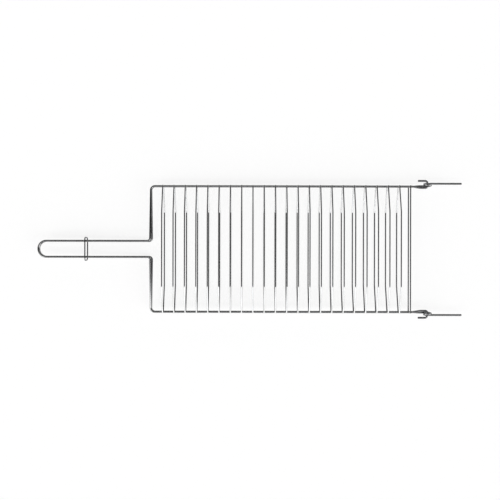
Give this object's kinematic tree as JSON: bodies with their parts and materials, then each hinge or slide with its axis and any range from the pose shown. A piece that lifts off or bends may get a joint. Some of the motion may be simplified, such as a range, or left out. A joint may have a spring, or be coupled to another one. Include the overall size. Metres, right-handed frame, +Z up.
{
  "type": "double grill grate",
  "caption": "Folding double grate of bent round wire: hinged upper and lower grids of cranked bars, looped handles, a slide ring and support arms.",
  "frame": {"origin": "middle of the footprint, on the surface that the lower bars lie on", "axes": "+X from the handle to the support arms, +Y along the cross bars, +Z up"},
  "size_m": [0.7433, 0.2432, 0.036],
  "materials": {
    "frame_wire": "bright plated, light use",
    "bar_wire": "bright plated, light use",
    "ring_wire": "bright plated, light use"
  },
  "bodies": {
    "lower_grid": {"lower_frame": "frame_wire", "lower_end_bar": "bar_wire", "lower_bar_1": "bar_wire", "lower_bar_2": "bar_wire", "lower_bar_3": "bar_wire", "lower_bar_4": "bar_wire", "lower_bar_5": "bar_wire", "lower_bar_6": "bar_wire", "lower_bar_7": "bar_wire", "lower_bar_8": "bar_wire", "lower_bar_9": "bar_wire", "lower_bar_10": "bar_wire", "lower_bar_11": "bar_wire", "lower_bar_12": "bar_wire", "lower_bar_13": "bar_wire", "lower_bar_14": "bar_wire", "lower_bar_15": "bar_wire", "lower_bar_16": "bar_wire", "lower_bar_17": "bar_wire", "lower_bar_18": "bar_wire", "lower_bar_19": "bar_wire", "lower_bar_20": "bar_wire", "lower_bar_21": "bar_wire", "lower_bar_22": "bar_wire"},
    "upper_grid": {"upper_frame": "frame_wire", "upper_end_bar": "bar_wire", "upper_bar_1": "bar_wire", "upper_bar_2": "bar_wire", "upper_bar_3": "bar_wire", "upper_bar_4": "bar_wire", "upper_bar_5": "bar_wire", "upper_bar_6": "bar_wire", "upper_bar_7": "bar_wire", "upper_bar_8": "bar_wire", "upper_bar_9": "bar_wire", "upper_bar_10": "bar_wire", "upper_bar_11": "bar_wire", "upper_bar_12": "bar_wire", "upper_bar_13": "bar_wire", "upper_bar_14": "bar_wire", "upper_bar_15": "bar_wire", "upper_bar_16": "bar_wire", "upper_bar_17": "bar_wire", "upper_bar_18": "bar_wire", "upper_bar_19": "bar_wire", "upper_bar_20": "bar_wire", "upper_bar_21": "bar_wire", "upper_bar_22": "bar_wire"},
    "ring": {"slide_ring": "ring_wire"}
  },
  "joints": [
    {"name": "grid_hinge", "type": "hinge", "parent": "lower_grid", "child": "upper_grid", "pos_m": [0.31065, 0, 0.01995], "axis": [0, 1, 0], "range_deg": [0, 180]},
    {"name": "ring_slide", "type": "slide", "parent": "lower_grid", "child": "ring", "axis": [-1, 0, 0], "range_m": [0, 0.088]}
  ]
}
